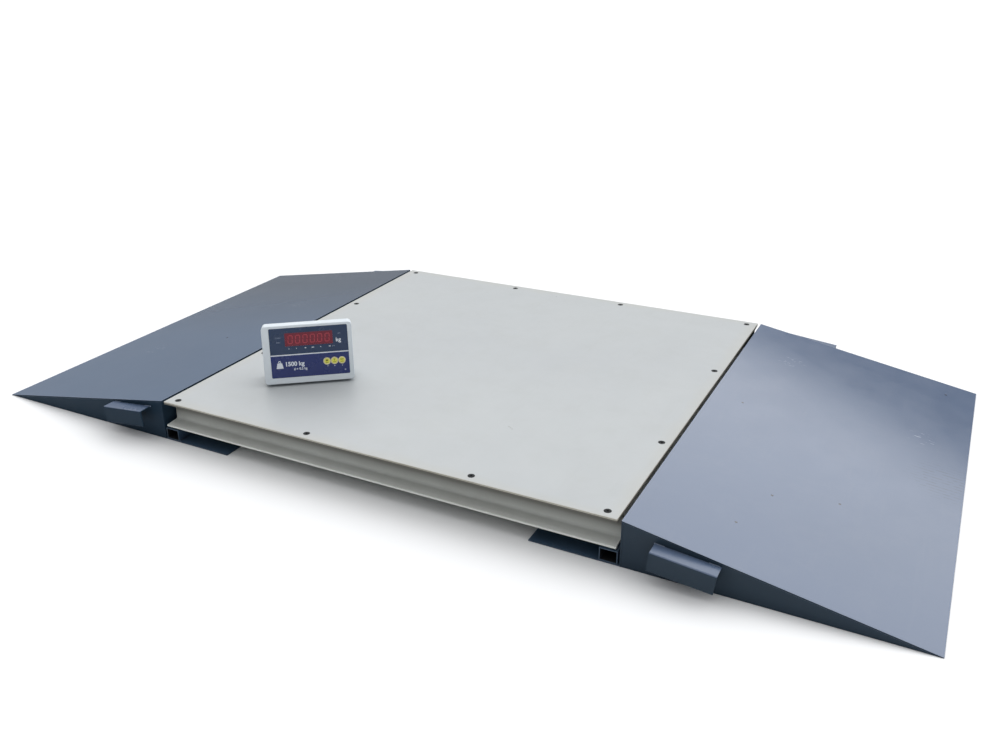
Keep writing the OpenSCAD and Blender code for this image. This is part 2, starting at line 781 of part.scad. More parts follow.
module indicator_window() {
  inset = 0.5;
  color([0.4, 0.12, 0.16]) on_face()
    face_plate(window[0], window[1], window_r, inset, wall_y - inset, window_x, window_z);
}

module indicator_digits() {
  smaller = 4;
  color([0.3, 0.05, 0.05]) on_face()
    face_plate(window[0] - smaller, window[1] - smaller, window_r, wall_y + 0.5, board_y,
               window_x, window_z);
}

module indicator_board() {
  color([0.1, 0.4, 0.2]) on_face() difference() {
    union() {
      translate([panel_x - board[0] / 2, board_y, panel_z - board[1] / 2])
        cube([board[0], board_t, board[1]]);
      for (x = keys_x) translate([x - switch_w / 2, board_y - switch_h, key_z - switch_w / 2])
        cube([switch_w, switch_h, switch_w]);
      translate([-70, board_y + board_t, panel_z + 10]) cube([40, 4, 30]);
      translate([20, board_y + board_t, panel_z - 30]) cube([30, 12, 20]);
    }
    for (x = [-1, 1], z = [-1, 1])
      face_rod(case_screw_d + 0.2, board_y - cut, board_y + board_t + cut,
        panel_x + x * (board[0] / 2 - board_hole_in), panel_z + z * (board[1] / 2 - board_hole_in));
  }
}

module indicator_battery() {
  size = [70, 34, 46];
  tab = [6, 1, 6];
  tab_in = 9;
  color([0.2, 0.2, 0.22]) on_deck()
    translate([-size[0] / 2, ind_d - shell_t - size[1], ind_foot_h + shell_t]) {
      cube(size);
      for (x = [tab_in, size[0] - tab_in - tab[0]])
        translate([x, (size[1] - tab[1]) / 2, size[2]]) cube(tab);
    }
}

module indicator_feet() {
  inset = 12;
  for (x = [-1, 1], y = [bezel_d + inset, ind_d - inset]) color([0.08, 0.08, 0.08]) on_deck()
    translate([x * (ind_w / 2 - 2 * inset), y, 0]) cylinder(h = ind_foot_h, d = 14);
}

module indicator_screws() {
  for (x = [-boss_x, boss_x], z = boss_zs) color([0.6, 0.6, 0.6]) on_face() {
    face_rod(case_head[0], case_head_y, case_head_y + case_head[1], x, z);
    face_rod(case_screw_d, bezel_d - 8, case_head_y, x, z);
  }
}

module indicator_sockets() {
  open_w = rocker_w + 2 * rocker_gap;
  open_h = 2 * (rocker_r + rocker_gap);
  back = ind_d;
  flange = 1.5;                        // flanges of the jack and the rocker's frame
  rim = 4;                             // rim of the round socket, behind the shell
  deep = 16;                           // depth of the rocker's frame
  color([0.6, 0.6, 0.62]) on_deck() difference() {
    union() {
      face_rod(socket_d, back - 12, back + rim, socket_x, socket_z);
      face_rod(socket_d + 4, back, back + rim / 2, socket_x, socket_z);
    }
    face_rod(socket_bore, back - 6, back + rim + cut, socket_x, socket_z);
  }
  color([0.1, 0.1, 0.1]) on_deck() difference() {
    union() {
      face_rod(jack_d, back - 14, back, jack_x, jack_z);
      face_rod(jack_d + 3, back, back + flange, jack_x, jack_z);
    }
    face_rod(jack_bore, back - 10, back + flange + cut, jack_x, jack_z);
  }
  color([0.1, 0.1, 0.1]) on_deck() translate([rocker_x, back, rocker_z]) difference() {
    union() {
      translate([-open_w / 2 - rocker_frame, -deep, -open_h / 2 - rocker_sill])
        cube([open_w + 2 * rocker_frame, deep, open_h + 2 * rocker_sill]);
      translate([-open_w / 2 - 4, 0, -open_h / 2 - 3]) cube([open_w + 8, flange, open_h + 6]);
    }
    translate([-open_w / 2, 2 - deep, -open_h / 2]) cube([open_w, deep, open_h]);
    translate([0, -rocker_in, 0]) rotate([0, 90, 0])
      cylinder(h = open_w + 2 * rocker_sill, r = rocker_pin + 0.06, center = true);
  }
}

module power_rocker() {
  color([0.75, 0.1, 0.08]) on_deck() translate([rocker_x, ind_d - rocker_in, rocker_z])
    rotate([rocker_lean, 0, 0]) {
      rotate([90, 0, 90]) linear_extrude(rocker_w, center = true) intersection() {
        polygon([[-3, -4], [5.2, -9], [4.2, 0], [5.2, 9], [-3, 4]]);
        circle(rocker_r);
      }
      rotate([0, 90, 0]) cylinder(h = rocker_w + 2 * rocker_gap + 1.6, r = rocker_pin, center = true);
    }
}

module key(i) {
  proud = 0.9;
  head_back = wall_y + 0.8;
  switch_gap = 0.2;                    // stem's end to the switch, when pressed
  color([0.9, 0.85, 0.3]) on_face() {
    face_rod(key_d, -proud, head_back, keys_x[i], key_z);
    face_rod(4, head_back - eps, board_y - switch_h - key_travel - switch_gap, keys_x[i], key_z);
  }
}

// ---------------------------------------------------------------- the parts

deck_plate();
deck_screws();
channel_front();
channel_back();
channel_left();
channel_right();
cross_beams();
cell_seats();
for (c = CORNERS) load_cell(c[1], c[2]);
cell_bolts();
foot_lock_nuts();
for (c = CORNERS) foot_pad(c[1], c[2]);
for (c = CORNERS) foot_stud(c[1], c[2]);
junction_box();
junction_lid();
junction_screws();
junction_board();
cable_glands();
beam_grommets();
cell_cables();
cable_outlet();
for (r = [["left", -1], ["right", 1]]) {
  ramp_sheet(r[1]);
  ramp_sides(r[1]);
  ramp_end(r[1]);
  ramp_ribs(r[1]);
  ramp_tongue(r[1]);
  ramp_tube(r[1]);
}
ramp_left_handle_front();
ramp_left_handle_back();
ramp_right_handle_front();
ramp_right_handle_back();
indicator_front();
indicator_back();
indicator_panel();
indicator_window();
indicator_digits();
indicator_board();
indicator_battery();
indicator_feet();
indicator_screws();
indicator_sockets();
power_rocker();
key(0);  // key_left
key(1);  // key_middle
key(2);  // key_right
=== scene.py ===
# %% [markdown]
# # A pallet scale, finished in Blender
#
# The object is a low weighing deck for pallets, a drive-on ramp at each end of it, and a desk
# indicator that stands loose on the deck. Its parts, sizes and joints come ready made from the CAD
# frame. This notebook gives every part its rolled, bent or moulded edges and its real finish, and
# adds the small things that a CAD model leaves out: weld beads, printed marks, lit digits.

# %% Load the frame
import json
import math

import bmesh
import bpy
from mathutils import Euler, Matrix, Vector


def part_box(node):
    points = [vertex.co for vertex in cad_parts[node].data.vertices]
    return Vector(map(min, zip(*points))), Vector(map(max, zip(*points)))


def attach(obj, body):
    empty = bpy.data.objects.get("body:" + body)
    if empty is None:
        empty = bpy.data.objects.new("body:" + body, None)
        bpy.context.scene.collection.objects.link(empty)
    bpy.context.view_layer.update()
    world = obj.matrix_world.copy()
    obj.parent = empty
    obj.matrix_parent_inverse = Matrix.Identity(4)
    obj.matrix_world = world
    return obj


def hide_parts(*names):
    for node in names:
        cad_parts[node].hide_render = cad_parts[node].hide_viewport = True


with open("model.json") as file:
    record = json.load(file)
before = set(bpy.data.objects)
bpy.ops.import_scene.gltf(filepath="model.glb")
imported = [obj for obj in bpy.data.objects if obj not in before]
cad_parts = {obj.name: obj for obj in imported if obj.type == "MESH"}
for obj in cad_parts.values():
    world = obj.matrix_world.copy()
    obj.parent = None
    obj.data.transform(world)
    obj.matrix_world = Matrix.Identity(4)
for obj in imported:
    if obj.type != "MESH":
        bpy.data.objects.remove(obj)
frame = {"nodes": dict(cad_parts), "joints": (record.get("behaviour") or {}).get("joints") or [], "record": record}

scene = bpy.context.scene
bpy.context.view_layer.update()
nodes = frame["nodes"]
MM = 0.001
deck_low, deck_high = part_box("deck_plate")

# %% [markdown]
# ## Camera
#
# The view is that of a person who stands in front of the scale's right half and looks down at it.
# A camera in Blender looks along its own -Z, so its turn is given as Euler angles. The small shift
# slides the picture in its frame, as a crop does, and changes no angle.

# %% Camera
EYE = Vector((1.11702661, -2.14613686, 1.13457621))   # metres
TURN = (66.98730967, 0.86234406, 28.32853949)         # degrees
camera_data = bpy.data.cameras.new("camera")
camera_data.lens = 34.5202
camera_data.sensor_width = 36
camera_data.shift_x = 0.032884
camera_data.shift_y = -0.015587
camera = bpy.data.objects.new("camera", camera_data)
camera.location = EYE
camera.rotation_euler = Euler([math.radians(a) for a in TURN])
scene.collection.objects.link(camera)
scene.camera = camera
print("camera stands", round((EYE - deck_high).length, 2), "m from the deck's back corner")

# %% [markdown]
# ## Materials: one way to build them all
#
# Every finish here is a Principled shader whose colour, roughness and small relief come from
# noise in Object coordinates. All pieces sit unturned at the origin, so those coordinates are
# metres on the real object, and a grain of 2 mm is a scale of 500. The class below only saves
# typing: it keeps the node tree at hand, so that each finish can be written in a few lines. Its
# two arithmetic nodes are functions of their own, because the sky is built from them as well.


# %% Arithmetic nodes
def math_node(tree, operation, values):
    """A Math node on numbers or other nodes' outputs."""
    node = tree.nodes.new("ShaderNodeMath")
    node.operation = operation
    for socket, value in zip(node.inputs, values):
        if isinstance(value, (int, float)):
            socket.default_value = value
        else:
            tree.links.new(value, socket)
    return node.outputs["Value"]


def range_node(tree, value, low, high, to_low, to_high, blend="LINEAR"):
    """A Map Range node, which takes low..high to to_low..to_high."""
    node = tree.nodes.new("ShaderNodeMapRange")
    node.interpolation_type = blend
    ends = {"From Min": low, "From Max": high, "To Min": to_low, "To Max": to_high}
    for name, number in ends.items():
        node.inputs[name].default_value = number
    tree.links.new(value, node.inputs["Value"])
    return node.outputs["Result"]


# %% The finish helper
class Finish:
    """A Principled material, and short ways to add texture nodes to it."""

    def __init__(self, name, colour, roughness, metallic=0.0, specular=0.5):
        self.material = bpy.data.materials.new(name)
        self.material.use_nodes = True
        self.tree = self.material.node_tree
        self.shader = self.tree.nodes["Principled BSDF"]
        self.coords = self.tree.nodes.new("ShaderNodeTexCoord").outputs["Object"]
        self.shader.inputs["Base Color"].default_value = (*colour, 1)
        self.shader.inputs["Roughness"].default_value = roughness
        self.shader.inputs["Metallic"].default_value = metallic
        self.shader.inputs["Specular IOR Level"].default_value = specular
        self.colour = None
        self.height = None

    def link(self, output, socket):
        self.tree.links.new(output, socket)

    def moved(self, scale, turn=(0, 0, 0), shift=(0, 0, 0)):
        """Object coordinates scaled, then turned, then shifted."""
        node = self.tree.nodes.new("ShaderNodeMapping")
        node.inputs["Scale"].default_value = scale
        node.inputs["Rotation"].default_value = turn
        node.inputs["Location"].default_value = shift
        self.link(self.coords, node.inputs["Vector"])
        return node.outputs["Vector"]

    def noise(self, scale, detail=3, rough=0.55, at=None):
        node = self.tree.nodes.new("ShaderNodeTexNoise")
        node.inputs["Scale"].default_value = scale
        node.inputs["Detail"].default_value = detail
        node.inputs["Roughness"].default_value = rough
        self.link(at or self.coords, node.inputs["Vector"])
        return node.outputs["Fac"]

    def spots(self, scale):
        """Distance to the nearest of scattered points, in cells."""
        node = self.tree.nodes.new("ShaderNodeTexVoronoi")
        node.inputs["Scale"].default_value = scale
        self.link(self.coords, node.inputs["Vector"])
        return node.outputs["Distance"]

    def remap(self, value, low, high, to_low=0.0, to_high=1.0):
        return range_node(self.tree, value, low, high, to_low, to_high)

    def math(self, operation, *values):
        return math_node(self.tree, operation, values)

    def near(self, point, radius, soft):
        """1 within radius of a point of the object, fading to 0 over soft metres."""
        node = self.tree.nodes.new("ShaderNodeVectorMath")
        node.operation = "DISTANCE"
        self.link(self.coords, node.inputs[0])
        node.inputs[1].default_value = point
        return self.remap(node.outputs["Value"], radius, radius + soft, 1.0, 0.0)

    def waves(self, value, pitch):
        """Sine waves along a coordinate, one for each pitch in metres."""
        return self.math("SINE", self.math("MULTIPLY", value, 2 * math.pi / pitch))

    def split(self, vector=None):
        """The x, y and z of a vector, or of the object's own coordinates."""
        node = self.tree.nodes.new("ShaderNodeSeparateXYZ")
        self.link(vector or self.coords, node.inputs["Vector"])
        return node.outputs

    def glow(self, colour, strength):
        self.shader.inputs["Emission Color"].default_value = (*colour, 1)
        self.shader.inputs["Emission Strength"].default_value = strength

    def tint(self, share, colour):
        """Lays another colour over what is there, where share is above 0."""
        node = self.tree.nodes.new("ShaderNodeMix")
        node.data_type = "RGBA"
        sockets = {s.identifier: s for s in node.inputs}
        self.link(share, sockets["Factor_Float"])
        if self.colour is None:
            sockets["A_Color"].default_value = self.shader.inputs["Base Color"].default_value
        else:
            self.link(self.colour, sockets["A_Color"])
        sockets["B_Color"].default_value = (*colour, 1)
        self.colour = next(s for s in node.outputs if s.identifier == "Result_Color")
        self.link(self.colour, self.shader.inputs["Base Color"])

    def dull(self, value, smooth, rough):
        """Roughness that follows a texture, from smooth to rough."""
        self.link(self.remap(value, 0.3, 0.7, smooth, rough), self.shader.inputs["Roughness"])

    def relief(self, value, depth, strength=0.5):
        """Adds relief of that depth in metres, on top of any that is there."""
        node = self.tree.nodes.new("ShaderNodeBump")
        node.inputs["Distance"].default_value = depth
        node.inputs["Strength"].default_value = strength
        self.link(value, node.inputs["Height"])
        if self.height is not None:
            self.link(self.height, node.inputs["Normal"])
        self.height = node.outputs["Normal"]
        self.link(self.height, self.shader.inputs["Normal"])


def linear(r, g, b):
    """A screen colour, 0 to 255, as the linear numbers that a shader takes."""
    return tuple(((c / 255 + 0.055) / 1.055) ** 2.4 if c > 10 else c / 255 / 12.92 for c in (r, g, b))


# %% [markdown]
# ## Paint
#
# The deck and its channels carry a light grey enamel, sprayed on mill-rough steel. It shows a
# faint cloudiness, dust in broad patches, small specks, and orange peel about 1 mm across. The
# ramps have a blue-grey semi-gloss enamel that mirrors the sky softly, and the tongues a darker
# navy. A function gives all three the same anatomy with their own colours. Upright faces of the
# ramps get a darker mix of the same paint, which is painted shade; the channels' lighter copy is
# painted light, with painted shade up the web.
#
# A colour is given as it looks on a screen. The other numbers are shares from 0 to 1, noise
# scales in cycles per metre, and depths in metres.


# %% Enamel paint
def enamel(name, colour, cloud, dust, smooth, rough, dust_share=0.25, specular=0.5):
    f = Finish(name, colour, (smooth + rough) / 2, specular=specular)
    f.tint(f.remap(f.noise(1.7, 5, 0.6), 0.35, 0.7), cloud)
    f.tint(f.remap(f.noise(9, 7, 0.7), 0.48, 0.8, 0, dust_share), dust)
    streak = f.noise(3, 4, 0.6, f.moved((14, 1.2, 14)))
    f.tint(f.remap(streak, 0.58, 0.8, 0, dust_share * 0.6), dust)
    f.tint(f.remap(f.spots(4.1), 0.006, 0.010, 0.7, 0.0), tuple(c * 0.3 for c in colour))
    f.dull(f.noise(11, 6, 0.65), smooth, rough)
    f.relief(f.noise(2.2, 2), 0.0006, 0.2)
    f.relief(f.noise(800, 2), 0.00003, 0.35)
    return f


deck_finish = enamel("deck_paint", linear(172, 176, 178), linear(176, 180, 181), linear(162, 164, 161),
                     0.36, 0.5)
# a warm, handled margin along the deck's four edges, and one short scratch near the front
x, y = deck_finish.split()[:2]
rim = deck_finish.math("MAXIMUM", deck_finish.math("ABSOLUTE", x), deck_finish.math("ABSOLUTE", y))
rim = deck_finish.math("ADD", rim, deck_finish.math("MULTIPLY", deck_finish.noise(7, 4), 0.05))
deck_finish.tint(deck_finish.remap(rim, 0.59, 0.635, 0, 0.35), linear(178, 174, 160))
scratch_x, scratch_y = 0.235, -0.335
for step in range(3):
    spot = (scratch_x + 0.006 * step, scratch_y - 0.004 * step, deck_high.z)
    deck_finish.tint(deck_finish.near(spot, 0.0012, 0.001), linear(140, 140, 136))
deck_paint = deck_finish.material
# the channels carry the deck's paint in a lighter copy, painted light for the lower flange, with painted shade
# higher up the web under the deck plate
channel_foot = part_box("channel_front")[0].z
channel_finish = enamel("channel_paint", linear(220, 223, 219), linear(213, 216, 211),
                        linear(184, 183, 174), 0.4, 0.55, 0.3)
rise = channel_finish.split()[2]
# painted shade: darker higher up the web, under the deck plate
painted_shade_up_web = channel_finish.remap(rise, channel_foot + 9 * MM, channel_foot + 38 * MM, 0, 0.95)
channel_finish.tint(painted_shade_up_web, linear(80, 78, 70))
channel_paint = channel_finish.material
# a lighter, warmer paint for the deck plate's rounded edges and upright faces: partly wear, partly painted
# highlight
edge_wear_and_highlight = enamel("worn_deck_edge", linear(186, 184, 174), linear(160, 156, 142),
                    linear(112, 106, 92), 0.45, 0.6, 0.5).material

# %% [markdown]
# The ramps' top sheets show where they were driven over: a few chips down to the primer, two
# groups of short scratches, and a faint tyre print near the right ramp's thin edge. Each chip is
# a small disc round a point of the object. The print is a set of fine waves inside a soft patch.


# %% Ramp paint
def ramp_finish(name, paint, chips, scratches, print_at):
    f = enamel(name, linear(*paint), linear(*(c * 1.03 for c in paint)), linear(116, 124, 138),
               0.1, 0.15, 0.12, 0.62)
    for chip in chips:
        f.tint(f.near(chip, 0.0022, 0.0015), linear(34, 38, 46))
    for centre in scratches:
        hair = f.noise(160, 2, 0.5, f.moved((0.25, 1.6, 1), (0, 0, 0.5)))
        share = f.math("MULTIPLY", f.near(centre, 0.012, 0.03), f.remap(hair, 0.62, 0.68, 0, 0.6))
        f.tint(share, linear(196, 202, 214))
    if print_at:
        x, y = f.split()[:2]
        lugs = f.waves(f.math("ADD", y, f.math("MULTIPLY", x, -0.12)), 0.013)
        patch = f.math("MULTIPLY", f.near(print_at, 0.05, 0.05), f.remap(f.noise(70, 4), 0.42, 0.56))
        f.tint(f.math("MULTIPLY", patch, f.remap(lugs, 0.3, 0.8, 0, 0.42)), linear(66, 76, 88))
    return f


right_sheet_finish = ramp_finish(
    "right_ramp_paint", (82, 98, 124),
    [(0.838, -0.301, 0.066), (0.798, -0.450, 0.073), (0.967, -0.233, 0.043), (0.685, 0.067, 0.093),
     (1.127, 0.524, 0.015)],
    [(0.738, 0.405, 0.084), (1.090, 0.212, 0.021)], (1.162, 0.030, 0.008))
# painted light: the ramps are one paint, and the left ramp's is a lighter copy
left_sheet_finish = ramp_finish(
    "left_ramp_paint", (98, 114, 136), [(-0.82, -0.12, 0.069), (-0.97, 0.31, 0.042)],
    [(-0.80, 0.20, 0.073), (-1.02, -0.22, 0.033)], None)
# painted reflection: the left ramp's back half is greyer
painted_reflection_back = left_sheet_finish.remap(left_sheet_finish.split()[1], -0.1, 0.45, 0, 0.8)
left_sheet_finish.tint(painted_reflection_back, linear(93, 101, 112))
right_sheet_paint, left_sheet_paint = right_sheet_finish.material, left_sheet_finish.material
ramp_paint = enamel("ramp_paint", linear(76, 92, 118), linear(80, 95, 119), linear(108, 117, 131),
                    0.24, 0.34, 0.2).material
# a lighter paint for the ramps' rounded edges and the handles' beads: partly wear, partly painted highlight
ramp_edge = enamel("worn_ramp_edge", linear(112, 124, 146), linear(96, 108, 128), linear(150, 154, 160),
                   0.3, 0.45, 0.5).material
# painted shade: darker copies of the ramp paint for upright faces, the left ramp's darker still
side_painted_shade = enamel("ramp_side_painted_shade", linear(38, 53, 68), linear(42, 57, 70), linear(60, 72, 82),
                    0.32, 0.45, 0.3, 0.18).material
left_side_painted_shade = enamel("left_side_painted_shade", linear(32, 50, 66), linear(35, 53, 68), linear(46, 59, 70),
                         0.35, 0.5, 0.3, 0.08).material
tongue_paint = enamel("tongue_paint", linear(56, 77, 98), linear(48, 68, 90), linear(84, 97, 111),
                      0.3, 0.45, 0.3).material
# painted shade for hollows: the screws' sockets and the inside of the square tubes
painted_shade_inside = enamel("shaded_inside", linear(14, 17, 21), linear(10, 12, 15), linear(28, 30, 33),
                     0.5, 0.7, 0.3).material
print("paints:", [m.name for m in bpy.data.materials if "paint" in m.name or "worn" in m.name])

# %% [markdown]
# ## Metal, rubber and plastic
#
# Zinc-plated screws are dull with a fine mottled crystal; a machined load cell has mill marks, so
# its noise is stretched along one axis. Nylon and rubber differ in grain and sheen. None is a
# single flat value: roughness and relief follow noise at the scale of the part.


# %% Metal
def metal(name, colour, smooth, rough, grain, stretch=(1, 1, 1), dark=0.5):
    f = Finish(name, colour, (smooth + rough) / 2, metallic=1.0)
    along = f.moved(stretch)
    f.tint(f.remap(f.noise(60, 5, 0.7), 0.45, 0.75, 0, 0.5), tuple(c * dark for c in colour))
    f.dull(f.noise(grain, 4, 0.6, along), smooth, rough)
    f.relief(f.noise(grain, 2, 0.5, along), 0.00003, 0.5)
    return f


zinc = metal("zinc_plate", linear(150, 150, 148), 0.34, 0.5, 900).material
screw_zinc = metal("deck_screw_zinc", linear(48, 49, 50), 0.5, 0.62, 900, dark=0.35).material
cell_steel = metal("milled_cell_steel", linear(196, 198, 200), 0.22, 0.38, 500,
                   (1, 12, 12), 0.8).material
pad_steel = metal("pad_steel", linear(158, 158, 156), 0.36, 0.55, 700).material
weld_steel = metal("painted_weld", linear(92, 102, 118), 0.35, 0.6, 500).material
# a stud's thread is a row of relief waves up its height
thread_pitch = 1.75 * MM
stud_finish = metal("threaded_stud", linear(160, 160, 158), 0.3, 0.45, 900)
stud_finish.relief(stud_finish.waves(stud_finish.split()[2], thread_pitch), 0.0006, 1.0)
threaded = stud_finish.material


# %% Moulded and rubber parts
def moulding(name, colour, roughness, grain, depth, mottle=0.25, shade=0.8):
    f = Finish(name, colour, roughness)
    f.tint(f.remap(f.noise(14, 5, 0.6), 0.4, 0.75, 0, mottle), tuple(c * shade for c in colour))
    f.dull(f.noise(grain / 8, 4), roughness - 0.06, roughness + 0.08)
    f.relief(f.noise(grain, 2), depth, 0.5)
    return f


housing_plastic = moulding("housing_plastic", linear(216, 224, 230), 0.42, 2600, 0.00003,
                           0.2, 0.86).material
black_nylon = moulding("black_nylon", linear(34, 34, 36), 0.45, 1800, 0.00004).material
black_rubber = moulding("black_rubber", linear(28, 28, 29), 0.75, 1200, 0.00008).material
box_grey = moulding("box_enamel", linear(150, 153, 155), 0.5, 900, 0.00006).material
cable_jacket = moulding("cable_jacket", linear(40, 41, 43), 0.5, 1500, 0.00003).material
battery_case = moulding("battery_case", linear(58, 58, 62), 0.4, 1500, 0.00003).material
rocker_red = moulding("rocker_red", linear(196, 34, 28), 0.3, 1500, 0.00001).material
key_yellow = moulding("key_yellow", linear(228, 226, 92), 0.4, 2200, 0.00002, 0.5, 0.86).material
key_rim = moulding("key_rim_print", linear(240, 228, 206), 0.4, 2200, 0.00001).material
white_print = moulding("white_print", linear(222, 228, 236), 0.4, 2200, 0.00001).material
grey_print = moulding("grey_print", linear(150, 160, 180), 0.4, 2200, 0.00001).material
dark_print = moulding("dark_print", linear(104, 98, 34), 0.45, 2200, 0.00001).material
label_silver = metal("label_foil", linear(190, 192, 195), 0.3, 0.4, 900, (1, 1, 10), 0.9).material


# %% Circuit board
def board_finish(name):
    f = Finish(name, linear(22, 92, 48), 0.35)
    f.tint(f.remap(f.noise(220, 2), 0.5, 0.56), linear(34, 116, 62))
    f.tint(f.remap(f.spots(260), 0.12, 0.2, 1, 0), linear(170, 172, 170))
    f.relief(f.noise(220, 2), 0.00005, 0.5)
    return f.material


green_board = board_finish("circuit_board")
print(len(bpy.data.materials), "finishes so far")

# %% [markdown]
# ## Refined copies of the CAD parts
#
# A CAD mesh is loose triangles with knife-sharp edges. Real sheet is sheared and rolled, so every
# long edge catches a thin line of light. Each visible part is copied, its triangles are merged
# back into flat faces, and its sharp edges are bevelled. A list of rules then hands each face the
# finish of the first rule that it meets, such as the darker paint for the ramps' upright faces,
# which is painted shade. Weighted normals keep the broad faces flat, so that only the narrow
# bevels shade as round.

# %% Making pieces
bodies = frame["record"]["behaviour"]["bodies"]
body_of_node = {node: body for body, names in bodies.items() for node in names}
SHARP = math.radians(30)
NEARLY_FLAT = math.radians(0.6)


def make_piece(name, bm, finishes, body, sharp=40):
    """Turns a bmesh into a shown piece that rides on a body. sharp is in degrees."""
    bmesh.ops.recalc_face_normals(bm, faces=bm.faces)
    mesh = bpy.data.meshes.new(name)
    bm.to_mesh(mesh)
    bm.free()
    mesh.shade_smooth()
    mesh.set_sharp_from_angle(angle=math.radians(sharp))
    for finish in finishes:
        mesh.materials.append(finish)
    piece = bpy.data.objects.new(name, mesh)
    scene.collection.objects.link(piece)
    shading = piece.modifiers.new("even_shading", "WEIGHTED_NORMAL")
    shading.keep_sharp = True
    shading.weight = 90
    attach(piece, body)
    return piece


def sharp_edges(bm, least_length, chosen=None):
    """Edges between two faces that meet at more than SHARP, and that pass the test chosen."""
    return [e for e in bm.edges if len(e.link_faces) == 2 and e.calc_face_angle(0) > SHARP
            and e.calc_length() > least_length and (chosen is None or chosen(e))]


def bevel(bm, edges, width, rings):
    return bmesh.ops.bevel(bm, geom=edges, offset=width, offset_type="OFFSET", segments=rings,
                           profile=0.5, affect="EDGES", clamp_overlap=True, material=-1)["faces"]


def refine(node, finish, width, edge_finish=None, least_length=0.02, rings=2, rules=(), wide=None):
    """A copy of a CAD node with rounded edges.

    A rule is (face test, finish). wide is (edge test, width), for a larger round on some edges.
    """
    bm = bmesh.new()
    bm.from_mesh(nodes[node].data)
    bmesh.ops.remove_doubles(bm, verts=bm.verts, dist=1e-6)
    bmesh.ops.dissolve_limit(bm, angle_limit=NEARLY_FLAT, verts=bm.verts, edges=bm.edges)
    for face in bm.faces:
        face.material_index = 0
    if wide:
        bevel(bm, sharp_edges(bm, 0.5 * MM, wide[0]), wide[1], 4)
    rounded = set(bevel(bm, sharp_edges(bm, least_length), width, rings))
    finishes = [finish, edge_finish or finish] + [rule[1] for rule in rules]
    for face in bm.faces:
        if face in rounded:
            face.material_index = 1
        else:
            middle = face.calc_center_median()
            for k, (test, _) in enumerate(rules):
                if test(middle, face.normal):
                    face.material_index = 2 + k
                    break
    piece = make_piece(node + "_finished", bm, finishes, body_of_node[node])
    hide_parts(node)


def paint_node(node, finish):
    """A CAD node whose shape is right as it is keeps it, and takes a finish."""
    nodes[node].data.materials.clear()
    nodes[node].data.materials.append(finish)


def upright(middle, normal):
    return abs(normal.z) < 0.5


# %% [markdown]
# ## Weld beads
#
# A weld bead is a row of small ripples, one for each pause of the torch. Its cross-section is a
# ring that is extruded a step at a time, and swells and shrinks by turns. That is easier to read,
# and to vary, than a curve with a bevel object. Half of each bead sinks into the corner it fills.


# %% Bead maker
RIPPLE = 1.7 * MM


def extrude_cap(bm, face, move):
    """Moves a new cap out from a face, and gives the cap's face and corners."""
    grown = bmesh.ops.extrude_face_region(bm, geom=[face])["geom"]
    verts = [g for g in grown if isinstance(g, bmesh.types.BMVert)]
    cap = next(g for g in grown if isinstance(g, bmesh.types.BMFace))
    bmesh.ops.translate(bm, verts=verts, vec=move)
    return cap, verts


def add_bead(bm, start, end, radius=2.4 * MM):
    start, end = Vector(start), Vector(end)
    steps = max(5, round((end - start).length / RIPPLE))
    step = (end - start) / steps
    turn = step.to_track_quat("Z", "Y").to_matrix().to_4x4()
    disc = bmesh.ops.create_circle(bm, cap_ends=True, segments=8, radius=radius * 0.5,
                                   matrix=Matrix.Translation(start) @ turn)
    cap = disc["verts"][0].link_faces[0]
    size = 0.5
    for k in range(1, steps + 1):
        cap, verts = extrude_cap(bm, cap, step)
        wanted = 0.5 if k == steps else (1.0 if k % 2 else 0.84) + 0.07 * math.sin(k * 1.7)
        bmesh.ops.scale(bm, verts=verts, vec=Vector((1, 1, 1)) * (wanted / size),
                        space=Matrix.Translation(-(start + step * k)))
        size = wanted


def weld(name, lines, body, finish, radius=2.4 * MM):
    bm = bmesh.new()
    for start, end in lines:
        add_bead(bm, start, end, radius)
    make_piece(name, bm, [finish], body, sharp=70)


# %% [markdown]
# ## Deck
#
# The deck plate is sheared 4 mm sheet, so its top edge has a small round. The rolled channels
# below are open outwards. The screws' sockets get painted shade, which needs each screw's axis: their tips
# are rings at the lowest height, and the middle of each ring is an axis.

# %% Deck plate and channels
# the plate's rounded edges and upright faces take the lighter edge paint, partly painted highlight
refine("deck_plate", deck_paint, 0.5 * MM, edge_wear_and_highlight, rules=[(upright, edge_wear_and_highlight)])
for side in ("front", "back", "left", "right"):
    refine("channel_" + side, channel_paint, 0.6 * MM, least_length=0.2)
refine("cross_beams", deck_paint, 0.8 * MM, least_length=0.2)
refine("cell_seats", deck_paint, 0.5 * MM)

screw_low, screw_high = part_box("deck_screws")
socket_r = 3.2 * MM
screw_spread = 20 * MM   # more than a screw's width, and less than the room between two screws
tips = {}
for v in nodes["deck_screws"].data.vertices:
    if v.co.z < screw_low.z + 0.01 * MM:
        first = next((k for k in tips if (Vector(k) - v.co.xy).length < screw_spread), tuple(v.co.xy))
        tips.setdefault(first, []).append(v.co.xy.copy())
screw_axes = [sum(points, Vector((0, 0))) / len(points) for points in tips.values()]


def in_socket(middle, normal):
    deep = screw_high.z - 4 * MM < middle.z < screw_high.z - 0.2 * MM
    return deep and any((middle.xy - p).length < socket_r for p in screw_axes)


# painted shade in each screw's socket
refine("deck_screws", screw_zinc, 0.2 * MM, least_length=0.0008, rings=1,
       rules=[(in_socket, painted_shade_inside)])
print("deck:", round(deck_high.x - deck_low.x, 3), "x", round(deck_high.y - deck_low.y, 3), "m,",
      len(screw_axes), "screws")

# %% [markdown]
# The four load cells and their feet hang under the corners, and the junction box between two of
# the beams. They show only when the scale is lifted, but they have real edges and finishes too.

